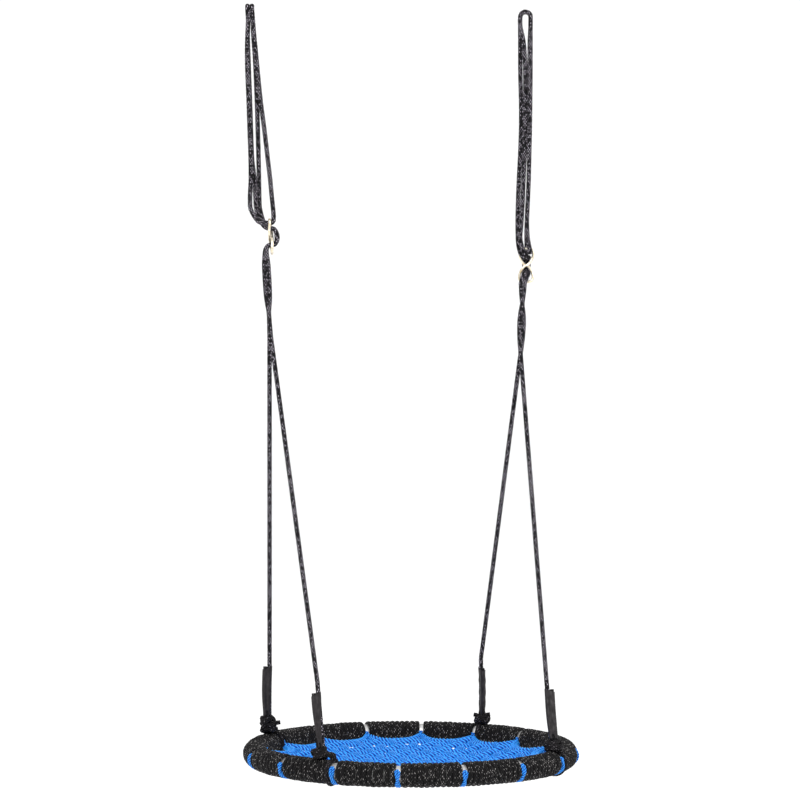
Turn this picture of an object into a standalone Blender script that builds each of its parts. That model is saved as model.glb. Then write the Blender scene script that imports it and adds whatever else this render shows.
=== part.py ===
"""Saucer nest swing: a rope-wrapped steel hoop with a rope net, hung on two adjustable rope hangers.

Units are metres, +Z up.  The origin is midway between the two hanging points, on the line through
the hooks or bar that hold the swing, and X runs along that line.  Routes of ropes are listed in
millimetres in a frame of their own hanger: n to the side, w along the doubled rope, z up.
"""
import math

import bmesh
import bpy
from mathutils import Matrix, Vector

MM = 0.001
GAP = 0.0003                      # clearance between pieces that touch
END_GAP = 0.0020                  # and between the ends of two pieces of one rope

# ropes
ROPE_R = 4.0 * MM                 # 8 mm hanger and wrapping rope
LAID = 3.9 * MM                   # half the spacing of two ropes lying side by side
STEP = 24 * MM                    # widest spacing of a rope's points
TURN = math.radians(18)           # and the most it turns between two points

# hanging line and hangers
HANG_HALF = 0.259                 # half the distance between the two hanging points
LOOP_HALF = 9.4 * MM              # half the width of the loop over the hook, centre to centre
LOOP_END_Z = -14.5 * MM           # where the loop hands over to the hanging strands
RING_WIRE_R = 2.4 * MM
RING_HALF_W = 12.4 * MM           # to the middle of the wire
RING_H = 65.0 * MM
RING_N, RING_W = 6.5, -9.0        # the adjuster's place in the hanger's own frame, mm
ROCK_Z = -0.500                   # axis about which the seat rocks
ROCK_CLEAR = 5.0 * MM             # half the free rope left open at that axis
APEX_N, APEX_W = -8.0, -1.2       # where the doubled rope divides into two legs, mm

# seat
SEAT_DROP = 1.327                 # hanging line to the hoop's centre
SEAT_SHIFT = 0.0215               # the hangers are not set quite alike, so the seat hangs off centre
SEAT_TILT = math.radians(0.95)
HOOP_R = 0.2800                   # centre line of the hoop
TUBE_R = 16.0 * MM
TUBE_WALL = 1.5 * MM
WRAP_R = 21.5 * MM                # outside of the rope wrapping
WRAP_CLEAR = 0.5 * MM
LASHING_R = 2.7 * MM              # the net lashings lie flatter than the rope they are made of
GAPS = 16                         # bare places between the wrappings
GAP_HALF = 4.75 * MM              # half the width of a bare place
TIE_OFFSET = 9.3 * MM             # the hanger's tie lies beside the net's lashing
KNOT_SHIFT = {"front_left": 24 * MM, "front_right": -4 * MM, "rear_left": 24 * MM, "rear_right": 0}
CORNERS = {"front_left": -45, "front_right": 45, "rear_left": -135, "rear_right": 135}
HOOP_STEPS = 48
SIDES = 8

# net
NET_R = 0.2545
NET_SAG = 0.026
NET_THICK = 0.010

# hangers: side of the swing, how far the loop and adjuster are turned, the adjuster's height, the height
# where the legs part, and how the doubled rope turns on its way down to there
HANGERS = {
    "left": {"side": -1, "turn": math.radians(15.3), "ring_top": -0.3646, "apex": -0.571,
             "twist": [(-0.4296, 118), (-0.445, 152), (-0.460, 176), (-0.485, 190), (-0.505, 215),
                       (-0.5285, 266), (-0.571, 285.3)]},
    "right": {"side": 1, "turn": math.radians(-69.4), "ring_top": -0.4180, "apex": -0.6225,
              "twist": [(-0.483, 118), (-0.500, 143), (-0.5202, 180), (-0.538, 226), (-0.5553, 268),
                        (-0.585, 315), (-0.6225, 380.6)]},
}

# hanging strands: (fraction of the way down to the adjuster, n, w), then points (z, n, w) in mm from its top
STRAND_FALL = {
    "near": [(0.15, -8.6, -10.2), (0.24, -11.4, -10.8), (0.43, -14.1, -11.4), (0.574, -16.4, -11.2),
             (0.72, -18.6, -10.6), (0.815, -21.1, -9.6), (0.888, -24.4, -9.0), (0.92, -25.4, -9.4)],
    "far": [(0.1, -6.6, 3.4), (0.186, -8.2, -0.2), (0.43, -11.8, -2.8), (0.574, -14.1, -2.8),
            (0.72, -16.0, -1.2), (0.8, -14.6, -0.4), (0.9, -15.2, 1.4)],
    "inner": [(0.1, 3.2, 8.8), (0.24, 2.8, 7.6), (0.43, 0.4, 4.8), (0.571, -1.9, 5.2), (0.717, -4.6, 7.2),
              (0.813, -6.6, 8.0), (0.9, -8.6, 8.0)],
    "outer": [(0.1, 4.2, -8.6), (0.24, 5.3, -9.0), (0.43, 6.8, -10.4), (0.575, 9.6, -10.8),
              (0.72, 11.7, -10.6), (0.815, 13.1, -9.2), (0.89, 13.6, -8.4), (0.93, 14.0, -8.4)],
}
STRAND_TOP = {"near": (-1, -1), "far": (-1, 1), "inner": (1, 1), "outer": (1, -1)}
BIGHT_BEND = [(18, -25.5, -10.6), (4, -20, -13.2), (-6, -13, -15.4), (-9, -5.5, -15.4), (-8.4, 0.5, -12.9),
              (-9.2, 6.5, -9), (-6.5, 12.2, -9), (1, 14, -9), (14, 14.3, -8.6)]
# doubled rope through the adjuster: (z, n, w, angle of the pair from n)
WEAVE = [(20, -12.3, 5, 35), (9, -10.6, 4, 40), (-2, -7.8, 1.5, 52), (-11, -4.4, -2, 68),
         (-17, 0.5, -6.5, 82), (-17.7, 6.5, -9, 90), (-18.8, 12, -9, 90), (-24.5, 16.3, -9, 86),
         (-32.5, 17.5, -9, 80), (-40.5, 16.3, -9, 86), (-46.2, 12, -9, 90), (-47.6, 6.5, -9, 90),
         (-48.8, 0.5, -8.6, 92), (-55, -3.5, -6.5, 102), (-65, -5, -3.4, 118)]

# knots and sleeves at the hoop, in mm above the hoop's centre line
TIE_R = 20.5 * MM
NECK_Z = 28.5 * MM                # height at which the tie's rope leans over to its knot
LINE_END_Z = 47 * MM              # a hanger's straight line ends here, midway between its corners
KNOT_TURN_Z = {"front_left": 32.5 * MM, "front_right": 33 * MM, "rear_left": 42 * MM, "rear_right": 31 * MM}
KNOT_TOP = {"front_left": 40 * MM, "front_right": 41 * MM, "rear_left": 55 * MM, "rear_right": 37.5 * MM}
SLEEVE_L = {"front_left": 91 * MM, "front_right": 85 * MM, "rear_left": 87 * MM, "rear_right": 85 * MM}
SLEEVE_WALL = 1.2 * MM
SLEEVE_PLAY = 0.6 * MM
# the stiff sleeve leans this share of the leg's own slope, and its flat side faces its own way
SLEEVE_LEAN = {"front_left": 0.7, "front_right": 1.0, "rear_left": 0.45, "rear_right": -0.05}
SLEEVE_TURN = {"front_left": -18, "front_right": 162, "rear_left": -18, "rear_right": 92}


# ---------------------------------------------------------------- scene helpers

def clear_scene():
    for obj in list(bpy.data.objects):
        bpy.data.objects.remove(obj, do_unlink=True)


def material(name, colour, roughness, metallic=0.0):
    mat = bpy.data.materials.new(name)
    mat.use_nodes = True
    shader = mat.node_tree.nodes["Principled BSDF"]
    shader.inputs["Base Color"].default_value = (*colour, 1.0)
    shader.inputs["Roughness"].default_value = roughness
    shader.inputs["Metallic"].default_value = metallic
    return mat


def empty(name, parent=None, location=(0, 0, 0), rotation=(0, 0, 0)):
    obj = bpy.data.objects.new(name, None)
    bpy.context.scene.collection.objects.link(obj)
    obj.location = location
    obj.rotation_euler = rotation
    obj.parent = parent
    bpy.context.view_layer.update()
    return obj


def add(name, data, mat, parent, local=False):
    """Link an object; its data is in the parent's frame if local, and in world places otherwise."""
    obj = bpy.data.objects.new(name, data)
    bpy.context.scene.collection.objects.link(obj)
    data.materials.append(mat)
    obj.parent = parent
    if not local:
        obj.matrix_parent_inverse = parent.matrix_world.inverted()
    return obj


def finish_mesh(name, bm):
    bmesh.ops.recalc_face_normals(bm, faces=bm.faces)
    mesh = bpy.data.meshes.new(name)
    bm.to_mesh(mesh)
    bm.free()
    mesh.shade_smooth()
    mesh.set_sharp_from_angle(angle=math.radians(50))
    return mesh


# ---------------------------------------------------------------- geometry helpers

def smooth_line(points, step):
    """Points along a smooth curve through the given points, closer together where it bends."""
    ends = [2 * points[0] - points[1]] + list(points) + [2 * points[-1] - points[-2]]
    fine = []
    for a, b, c, d in zip(ends, ends[1:], ends[2:], ends[3:]):
        for k in range(16):
            t = k / 16
            fine.append(0.5 * (2 * b + (c - a) * t + (2 * a - 5 * b + 4 * c - d) * t * t
                               + (3 * b - a - 3 * c + d) * t ** 3))
    fine.append(points[-1].copy())
    result = [fine[0]]
    run = turned = 0.0
    for before, here, after in zip(fine, fine[1:], fine[2:]):
        run += (here - before).length
        turned += (here - before).angle(after - here)
        if run >= step or turned >= TURN:
            result.append(here)
            run = turned = 0.0
    if (fine[-1] - result[-1]).length < step / 4 and len(result) > 2:
        result.pop()
    result.append(fine[-1])
    return result


def rope(name, points, mat, parent, step=STEP, radius=ROPE_R):
    """A plain round rope: a poly curve with filled ends."""
    curve = bpy.data.curves.new(name, "CURVE")
    curve.dimensions = "3D"
    curve.bevel_depth = radius
    curve.bevel_resolution = 2
    curve.use_fill_caps = True
    curve.twist_mode = "MINIMUM"
    curve.render_resolution_u = 0
    line = smooth_line(points, step)
    spline = curve.splines.new("POLY")
    spline.points.add(len(line) - 1)
    for point, place in zip(spline.points, line):
        point.co = (*place, 1.0)
    return add(name, curve, mat, parent)


def loft(name, rings, closed=False):
    """Skin a row of outlines; closed joins the last to the first, otherwise both ends are capped."""
    bm = bmesh.new()
    rows = [[bm.verts.new(p) for p in ring] for ring in rings]
    pairs = list(zip(rows, rows[1:]))
    if closed:
        pairs.append((rows[-1], rows[0]))
    for low, high in pairs:
        for i in range(len(low)):
            j = (i + 1) % len(low)
            bm.faces.new((low[i], low[j], high[j], high[i]))
    if not closed:
        bm.faces.new(rows[0])
        bm.faces.new(rows[-1])
    return finish_mesh(name, bm)


def tangents(points, closed=False):
    last = len(points) - 1
    result = []
    for i in range(len(points)):
        before = points[i - 1] if closed or i else points[0]
        after = points[(i + 1) % len(points)] if closed or i < last else points[last]
        result.append((after - before).normalized())
    return result


def pair_outline():
    """Outline of two ropes lying side by side, with the dip between them."""
    outline = []
    for side in (1, -1):
        for angle in (-120, -72, -24, 24, 72, 120):
            x = LAID + ROPE_R * math.cos(math.radians(angle))
            outline.append((side * x, side * ROPE_R * math.sin(math.radians(angle))))
        outline.append((0.0, side * 0.6 * ROPE_R))
    return outline


def double_rope(name, points, sides, mat, parent):
    """Two ropes side by side as one solid; sides gives the direction from one to the other."""
    rings = []
    for point, side, along in zip(points, sides, tangents(points)):
        across = (side - along * side.dot(along)).normalized()
        up = along.cross(across)
        rings.append([point + across * x + up * y for x, y in pair_outline()])
    return add(name, loft(name, rings), mat, parent)


def evaluated_mesh(obj):
    depsgraph = bpy.context.evaluated_depsgraph_get()
    return bpy.data.meshes.new_from_object(obj.evaluated_get(depsgraph))


def united(name, meshes, mat, parent):
    """One closed solid from overlapping meshes, all in the parent's frame."""
    parts = [bpy.data.objects.new(f"{name}_{i}", mesh) for i, mesh in enumerate(meshes)]
    for part in parts:
        bpy.context.scene.collection.objects.link(part)
    for other in parts[1:]:
        modifier = parts[0].modifiers.new("union", "BOOLEAN")
        modifier.operation = "UNION"
        modifier.solver = "EXACT"
        modifier.object = other
    bpy.context.view_layer.update()
    mesh = evaluated_mesh(parts[0])
    mesh.name = name
    for part in parts:
        bpy.data.objects.remove(part, do_unlink=True)
    mesh.materials.clear()
    mesh.shade_smooth()
    mesh.set_sharp_from_angle(angle=math.radians(50))
    return add(name, mesh, mat, parent, local=True)


# ---------------------------------------------------------------- places on the hoop

def hoop_point(angle, radius, phi):
    """A point beside the hoop's centre line: angle round the swing from the front, phi round the tube."""
    reach = HOOP_R + radius * math.cos(phi)
    return Vector((reach * math.sin(angle), -reach * math.cos(angle), radius * math.sin(phi)))


def grid_point(angle, radius, phi):
    """The same beside the tube's own straight steps, so that a piece on it keeps its clearance."""
    step = math.tau / HOOP_STEPS
    index = math.floor(angle / step)
    low = hoop_point(index * step, radius, phi)
    return low.lerp(hoop_point((index + 1) * step, radius, phi), angle / step - index)


def corner_angle(corner, beyond=0.0):
    """Where the hanger's tie goes round the hoop, beside the lashing and nearer the hanging line."""
    degrees = CORNERS[corner]
    toward_line = math.copysign(1, degrees) * (1 if abs(degrees) < 90 else -1)
    return math.radians(degrees) + toward_line * (TIE_OFFSET + beyond) / HOOP_R


def seat_matrix():
    return Matrix.Translation((SEAT_SHIFT, 0, -SEAT_DROP)) @ Matrix.Rotation(SEAT_TILT, 4, "Y")


def hanger_line(hanger, z):
    """The straight line from a hanging point to the middle of its two corners."""
    top = Vector((hanger["side"] * HANG_HALF, 0, 0))
    corner = HOOP_R * math.sin(math.radians(45))
    low = seat_matrix() @ Vector((hanger["side"] * corner, 0, LINE_END_Z))
    return top.lerp(low, z / low.z)


def hanger_place(hanger, z, n, w):
    """A point of a hanger; n and w in mm."""
    turn = hanger["turn"]
    side = Vector((math.cos(turn), -math.sin(turn), 0))
    along = Vector((math.sin(turn), math.cos(turn), 0))
    return hanger_line(hanger, z) + side * n * MM + along * w * MM


def hanger_direction(hanger, angle):
    turn = hanger["turn"]
    side = Vector((math.cos(turn), -math.sin(turn), 0))
    along = Vector((math.sin(turn), math.cos(turn), 0))
    return side * math.cos(angle) + along * math.sin(angle)


# ---------------------------------------------------------------- seat

def add_hoop_tube(mat, seat):
    """Hollow steel ring; one small drain hole on its inner side keeps it from being sealed."""
    bm = bmesh.new()
    skins = []
    for radius in (TUBE_R, TUBE_R - TUBE_WALL):
        skins.append([[bm.verts.new(hoop_point(math.tau * i / HOOP_STEPS, radius,
                                               math.tau * (j + 0.5) / SIDES))
                       for j in range(SIDES)] for i in range(HOOP_STEPS)])
    hole = (1, SIDES // 2 - 1)
    for skin in skins:
        for i in range(HOOP_STEPS):
            for j in range(SIDES):
                if (i, j) != hole:
                    k, m = (i + 1) % HOOP_STEPS, (j + 1) % SIDES
                    bm.faces.new((skin[i][j], skin[k][j], skin[k][m], skin[i][m]))
    i, j = hole
    rim = [(i, j), (i + 1, j), (i + 1, j + 1), (i, j + 1)]
    for (a, b), (c, d) in zip(rim, rim[1:] + rim[:1]):
        bm.faces.new((skins[0][a][b], skins[0][c][d], skins[1][c][d], skins[1][a][b]))
    add("hoop_tube", finish_mesh("hoop_tube", bm), mat, seat, local=True)


def wrap_span(index):
    """Start and end angle of one wrapping, which stops short of the lashings and the hangers' ties."""
    spacing = math.tau / GAPS
    start = index * spacing + GAP_HALF / HOOP_R
    end = (index + 1) * spacing - GAP_HALF / HOOP_R
    for corner, degrees in CORNERS.items():
        lashing = math.radians(degrees) % math.tau
        tie = corner_angle(corner) % math.tau
        if abs(index * spacing - lashing) < 0.01 and tie > lashing:
            start += TIE_OFFSET / HOOP_R
        if abs((index + 1) * spacing - lashing) < 0.01 and tie < lashing:
            end -= TIE_OFFSET / HOOP_R
    return start, end


def add_wraps(mat, seat):
    third = math.tau / HOOP_STEPS
    for index in range(GAPS):
        start, end = wrap_span(index)
        middle = (index + 0.5) * math.tau / GAPS
        stations = [start, middle - third / 2, middle + third / 2, end]
        rings = []
        for j in range(SIDES):
            phi = math.tau * (j + 0.5) / SIDES
            outer = [grid_point(a, WRAP_R, phi) for a in stations]
            inner = [grid_point(a, TUBE_R + WRAP_CLEAR, phi) for a in reversed(stations)]
            rings.append(outer + inner)
        add(f"rope_wrap_{index + 1:02d}", loft("wrap", rings, closed=True), mat, seat, local=True)


def ring_round_tube(angle, major, minor, swell=0.0, steps=SIDES, sides=6):
    """A rope ring round the tube at one angle, thicker towards the outside by swell."""
    rings = []
    across = Vector((math.cos(angle), math.sin(angle), 0))
    for i in range(steps):
        phi = math.tau * (i + 0.5) / steps
        outward = max(0.0, math.cos(phi)) ** 2
        ring = []
        for j in range(sides):
            psi = math.tau * j / sides
            radial = major + swell * outward / 2 + (minor + swell * outward / 2) * math.cos(psi)
            ring.append(hoop_point(angle, radial, phi) + across * minor * math.sin(psi))
        rings.append(ring)
    return rings


def add_lashings(mat, seat):
    for index in range(GAPS):
        rings = ring_round_tube(index * math.tau / GAPS, TUBE_R + LASHING_R + WRAP_CLEAR, LASHING_R,
                                swell=1.5 * MM)
        add(f"net_lashing_{index + 1:02d}", loft("lashing", rings, closed=True), mat, seat, local=True)


def add_net(mat, seat):
    """The woven net as a plain sagging dish of its true size."""
    rings_out = 4
    sectors = 32
    bm = bmesh.new()
    skins = []
    for side in (1, -1):
        centre = bm.verts.new((0, 0, side * NET_THICK / 2 - NET_SAG))
        rows = []
        for i in range(1, rings_out + 1):
            share = i / rings_out
            z = side * NET_THICK / 2 - NET_SAG * (1 - share ** 2)
            rows.append([bm.verts.new((share * NET_R * math.sin(math.tau * k / sectors),
                                       -share * NET_R * math.cos(math.tau * k / sectors), z))
                         for k in range(sectors)])
        for k in range(sectors):
            bm.faces.new((centre, rows[0][k], rows[0][(k + 1) % sectors]))
        for low, high in zip(rows, rows[1:]):
            for k in range(sectors):
                m = (k + 1) % sectors
                bm.faces.new((low[k], low[m], high[m], high[k]))
        skins.append(rows[-1])
    for k in range(sectors):
        m = (k + 1) % sectors
        bm.faces.new((skins[0][k], skins[0][m], skins[1][m], skins[1][k]))
    add("seat_net", finish_mesh("seat_net", bm), mat, seat, local=True)


# ---------------------------------------------------------------- corners: knots and sleeves

def corner_frame(corner):
    """Foot and head of the leg in the seat's frame: the knot's top and the place where the ropes divide."""
    angle = corner_angle(corner, KNOT_SHIFT[corner])
    foot = Vector((HOOP_R * math.sin(angle), -HOOP_R * math.cos(angle), KNOT_TOP[corner]))
    hanger = HANGERS["left" if corner.endswith("left") else "right"]
    apex = apex_place(hanger) + Vector((0, LAID if corner.startswith("rear") else -LAID, 0))
    return foot, seat_matrix().inverted() @ apex


def apex_place(hanger):
    return hanger_place(hanger, hanger["apex"], APEX_N, APEX_W)


def leg_axes(corner):
    """The sleeve's direction and its flat outline's long direction, square to it."""
    foot, head = corner_frame(corner)
    leg = (head - foot).normalized()
    lean = SLEEVE_LEAN[corner]
    along = Vector((leg.x * lean, leg.y * lean, leg.z)).normalized()
    turn = math.radians(SLEEVE_TURN[corner])
    wide = Vector((math.cos(turn), math.sin(turn), 0))
    wide = (wide - along * wide.dot(along)).normalized()
    return along, wide


def round_bar(start, end, radius, sides=SIDES):
    along = (end - start).normalized()
    side = along.orthogonal().normalized()
    up = along.cross(side)
    circle = [side * radius * math.cos(math.tau * k / sides) + up * radius * math.sin(math.tau * k / sides)
              for k in range(sides)]
    return loft("bar", [[start + c for c in circle], [end + c for c in circle]])


def flat_ring(centre, along, radius, minor, steps=10, sides=6):
    """A turn of rope round the leg."""
    side = along.orthogonal().normalized()
    up = along.cross(side)
    rings = []
    for i in range(steps):
        phi = math.tau * i / steps
        out = side * math.cos(phi) + up * math.sin(phi)
        rings.append([centre + out * (radius + minor * math.cos(math.tau * j / sides))
                      + along * minor * math.sin(math.tau * j / sides) for j in range(sides)])
    return loft("turn", rings, closed=True)


def add_corner(corner, rope_mat, sleeve_mat, seat):
    """Tie round the hoop, knot with its tail, and the sleeve over rope and turned-back end."""
    foot, _ = corner_frame(corner)
    along, wide = leg_axes(corner)
    angle = corner_angle(corner)
    tie = loft("tie", ring_round_tube(angle, TIE_R, ROPE_R), closed=True)
    tie_top = hoop_point(angle, TIE_R, math.radians(90))
    over = Vector((tie_top.x, tie_top.y, NECK_Z))
    neck = round_bar(tie_top, over + Vector((0, 0, 1 * MM)), 0.97 * ROPE_R)
    turn_centre = foot + Vector((0, 0, KNOT_TURN_Z[corner] - KNOT_TOP[corner]))
    bridge = round_bar(over, turn_centre + Vector((0, 0, 1 * MM)), 0.97 * ROPE_R)
    core = round_bar(foot + Vector((0, 0, WRAP_R + 2.5 * MM - KNOT_TOP[corner])), foot, 1.6 * ROPE_R)
    turn = flat_ring(turn_centre, Vector((0, 0, 1)), 8.5 * MM, 1.7 * ROPE_R)
    tail = round_bar(turn_centre, turn_centre + wide * 21 * MM + Vector((0, 0, 3 * MM)), 0.9 * ROPE_R, 6)
    end_foot = foot - along * 3 * MM - wide * LAID
    turned_back = round_bar(end_foot, end_foot + along * (SLEEVE_L[corner] + 8 * MM), 0.93 * ROPE_R)
    united(f"knot_{corner}", [core, neck, bridge, tie, turn, tail, turned_back], rope_mat, seat)

    low = foot + along * (3 * MM)
    rings = []
    for end in (low, low + along * SLEEVE_L[corner]):
        rings.append([stadium(end, along, wide, ROPE_R + SLEEVE_PLAY + SLEEVE_WALL),
                      stadium(end, along, wide, ROPE_R + SLEEVE_PLAY)])
    profiles = [[rings[0][0][k], rings[1][0][k], rings[1][1][k], rings[0][1][k]]
                for k in range(len(rings[0][0]))]
    add(f"sleeve_{corner}", loft("sleeve", profiles, closed=True), sleeve_mat, seat, local=True)


def stadium(centre, along, wide, radius):
    """Outline round two ropes side by side; the standing rope is at +wide."""
    deep = along.cross(wide)
    points = []
    for side in (1, -1):
        for angle in (-90, -45, 0, 45, 90):
            x = side * (LAID + 0.1 * MM + radius * math.cos(math.radians(angle)))
            y = side * radius * math.sin(math.radians(angle))
            points.append(centre + wide * x + deep * y)
    return points


def add_leg(corner, mat, parent):
    """The leg from the apex down through its sleeve to the knot."""
    foot, head = corner_frame(corner)
    along, wide = leg_axes(corner)
    to_world = seat_matrix()
    low = foot + along * (1.5 * MM) + wide * LAID
    inside = [low + along * share * (SLEEVE_L[corner] + 3 * MM) for share in (1.2, 1.04, 0.5, 0.0)]
    down = (inside[0] - head).normalized()
    head = head + down * 4 * MM
    points = [head.lerp(inside[0], share) for share in (0.0, 0.2, 0.4, 0.6, 0.8, 0.93)] + inside
    rope(f"leg_{corner}", [to_world @ p for p in points], mat, parent, step=32 * MM)


# ---------------------------------------------------------------- hangers

def add_loop(side, mat, parent):
    """Both ropes where they pass over the hook, as one solid."""
    hanger = HANGERS[side]
    points = []
    for degrees in range(0, 181, 20):
        angle = math.radians(degrees)
        points.append(hanger_place(hanger, 0, 0, LOOP_HALF / MM * math.cos(angle))
                      + Vector((0, 0, LOOP_HALF * math.sin(angle))))
    across = hanger_direction(hanger, 0)
    double_rope(f"hook_loop_{side}", points, [across] * len(points), mat, parent)


def strand_points(hanger, strand):
    n, w = STRAND_TOP[strand]
    points = [hanger_place(hanger, LOOP_END_Z, n * LAID / MM * 1.05, w * LOOP_HALF / MM)]
    points += [hanger_place(hanger, share * hanger["ring_top"], n, w) for share, n, w in STRAND_FALL[strand]]
    return points


def ring_place(hanger, z, n, w):
    return hanger_place(hanger, hanger["ring_top"] + z * MM, n, w)


def add_strands(side, mat, parent):
    """The bight, one rope down, round the adjuster's top and up again, and the two carrying strands."""
    hanger = HANGERS[side]
    bend = [ring_place(hanger, *point) for point in BIGHT_BEND]
    bight = strand_points(hanger, "near") + bend + strand_points(hanger, "outer")[::-1]
    rope(f"bight_{side}", bight, mat, parent)
    z, n, w, angle = WEAVE[0]
    for strand, sign in (("far", -1), ("inner", 1)):
        apart = hanger_direction(hanger, math.radians(angle)) * sign * 1.05 * LAID
        end = ring_place(hanger, z, n, w) + apart + Vector((0, 0, END_GAP))
        rope(f"strand_{strand}_{side}", strand_points(hanger, strand) + [end], mat, parent)


def add_adjuster(side, metal, rope_mat, parent):
    """Figure-of-eight wire ring, and the doubled rope woven through it."""
    hanger = HANGERS[side]
    half_h = RING_H / 2 - RING_WIRE_R
    steps = 36
    centre_line = []
    for i in range(steps):
        t = math.tau * (i + 0.5) / steps
        wave = math.sin(2 * t)
        w = math.copysign(abs(wave) ** 0.6, wave) * RING_HALF_W / MM
        n = 1.03 * RING_WIRE_R / MM * math.copysign(abs(math.sin(t)) ** 4, math.sin(t))
        z = (half_h * math.cos(t) - RING_H / 2) / MM
        centre_line.append(ring_place(hanger, z, RING_N + n, RING_W + w))
    facing = hanger_direction(hanger, 0)
    rings = []
    for point, along in zip(centre_line, tangents(centre_line, closed=True)):
        first = (facing - along * facing.dot(along)).normalized()
        second = along.cross(first)
        rings.append([point + (first * math.cos(math.tau * k / SIDES)
                               + second * math.sin(math.tau * k / SIDES)) * RING_WIRE_R
                      for k in range(SIDES)])
    add(f"adjuster_ring_{side}", loft("ring", rings, closed=True), metal, parent)

    points = [ring_place(hanger, z, n, w) for z, n, w, _ in WEAVE]
    angles = [math.radians(a) for *_, a in WEAVE]
    drop = ROCK_Z + ROCK_CLEAR - (hanger["ring_top"] + WEAVE[-1][0] * MM)
    z_low = ROCK_Z + ROCK_CLEAR
    extra = max(0, round(-drop / (12 * MM)))
    for k in range(1, extra + 1):
        points.append(doubled_place(hanger, points[len(WEAVE) - 1].z + drop * k / extra))
        angles.append(doubled_angle(hanger, points[-1].z))
    sides = [hanger_direction(hanger, a) for a in angles]
    double_rope(f"rope_in_adjuster_{side}", points, sides, rope_mat, parent)


def doubled_share(hanger, z):
    """How far down the doubled rope below the adjuster a height lies, 0 to 1."""
    start = hanger["ring_top"] + WEAVE[-1][0] * MM
    return (z - start) / (hanger["apex"] - start)


def doubled_place(hanger, z):
    share = doubled_share(hanger, z)
    _, n, w, _ = WEAVE[-1]
    return hanger_place(hanger, z, n + (APEX_N - n) * share, w + (APEX_W - w) * share)


def doubled_angle(hanger, z):
    """The two ropes turn about each other, and end one behind the other along the swing's Y."""
    table = hanger["twist"]
    for (high, first), (low, last) in zip(table, table[1:]):
        if z >= low:
            return math.radians(first + (last - first) * (z - high) / (low - high))
    return math.radians(table[-1][1])


def add_doubled(side, mat, parent):
    hanger = HANGERS[side]
    high = ROCK_Z - ROCK_CLEAR
    low = hanger["apex"] + GAP
    steps = 10
    levels = [high + (low - high) * k / steps for k in range(steps + 1)]
    points = [doubled_place(hanger, z) for z in levels]
    sides = [hanger_direction(hanger, doubled_angle(hanger, z)) for z in levels]
    double_rope(f"doubled_rope_{side}", points, sides, mat, parent)


# ---------------------------------------------------------------- assembly

def main():
    clear_scene()
    black_rope = material("black_rope", (0.02, 0.02, 0.022), 0.85)
    blue_rope = material("blue_rope", (0.03, 0.16, 0.62), 0.7)
    steel = material("galvanised_tube", (0.55, 0.56, 0.57), 0.4, 0.9)
    plated = material("plated_wire", (0.85, 0.78, 0.6), 0.25, 1.0)
    rubber = material("shrink_sleeve", (0.03, 0.028, 0.03), 0.55)

    hanging_line = empty("hanging_line")
    swing_axis = empty("swing_axis", hanging_line)
    adjuster_slide = empty("adjuster_slide", swing_axis)
    rock_axis = empty("rock_axis", adjuster_slide, (0, 0, ROCK_Z))
    seat_frame = empty("seat_frame", rock_axis, (SEAT_SHIFT, 0, -SEAT_DROP - ROCK_Z), (0, SEAT_TILT, 0))

    for side in HANGERS:
        add_loop(side, black_rope, hanging_line)
        add_strands(side, black_rope, swing_axis)
        add_adjuster(side, plated, black_rope, adjuster_slide)
        add_doubled(side, black_rope, rock_axis)
    for corner in CORNERS:
        add_leg(corner, black_rope, rock_axis)
        add_corner(corner, black_rope, rubber, seat_frame)
    add_hoop_tube(steel, seat_frame)
    add_wraps(black_rope, seat_frame)
    add_lashings(blue_rope, seat_frame)
    add_net(blue_rope, seat_frame)


main()
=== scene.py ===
"""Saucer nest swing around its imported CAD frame: ropes, net, knots, sleeves and adjusters in detail.

Metres, +Z up.  Routes of the hanger ropes are listed in millimetres in each hanger's own frame:
n to the side, w along the doubled rope, z up.
"""

import math

import bpy
import numpy as np
from mathutils import Matrix, Vector


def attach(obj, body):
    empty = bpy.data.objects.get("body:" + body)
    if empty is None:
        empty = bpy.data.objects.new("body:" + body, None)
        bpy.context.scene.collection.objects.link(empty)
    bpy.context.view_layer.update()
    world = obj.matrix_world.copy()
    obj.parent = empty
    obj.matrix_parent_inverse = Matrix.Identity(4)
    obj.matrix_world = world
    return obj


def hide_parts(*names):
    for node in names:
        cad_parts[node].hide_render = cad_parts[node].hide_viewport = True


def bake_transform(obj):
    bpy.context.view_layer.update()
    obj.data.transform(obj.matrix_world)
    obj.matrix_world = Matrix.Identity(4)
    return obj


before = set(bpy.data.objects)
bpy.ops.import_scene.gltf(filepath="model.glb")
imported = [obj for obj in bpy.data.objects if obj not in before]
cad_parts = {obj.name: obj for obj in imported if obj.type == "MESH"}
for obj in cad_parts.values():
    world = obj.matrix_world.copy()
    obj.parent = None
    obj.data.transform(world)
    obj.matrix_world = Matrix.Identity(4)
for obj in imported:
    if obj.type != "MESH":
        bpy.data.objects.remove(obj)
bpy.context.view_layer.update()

MM = 0.001
TAU = math.tau

# ------------------------------------------------------------------ driving sizes, as in the CAD
ROPE_R = 4.2 * MM
LAID = 3.9 * MM
HANG_HALF = 0.259
LOOP_HALF = 9.4 * MM
LOOP_END_Z = -14.5 * MM
RING_WIRE_R = 2.4 * MM
RING_HALF_W = 12.4 * MM
RING_H = 65.0 * MM
RING_N, RING_W = 6.5, -9.0
APEX_N, APEX_W = -8.0, -1.2
SEAT_DROP = 1.327
SEAT_SHIFT = 0.0215
SEAT_TILT = math.radians(0.95)
HOOP_R = 0.2800
TUBE_R = 16.0 * MM
WRAP_R = 21.5 * MM
GAPS = 16
GAP_HALF = 4.75 * MM
TIE_OFFSET = 9.3 * MM
KNOT_SHIFT = {"front_left": 24 * MM, "front_right": -4 * MM, "rear_left": 24 * MM, "rear_right": 0}
CORNERS = {"front_left": -45, "front_right": 45, "rear_left": -135, "rear_right": 135}
TIE_R = 20.5 * MM
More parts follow.
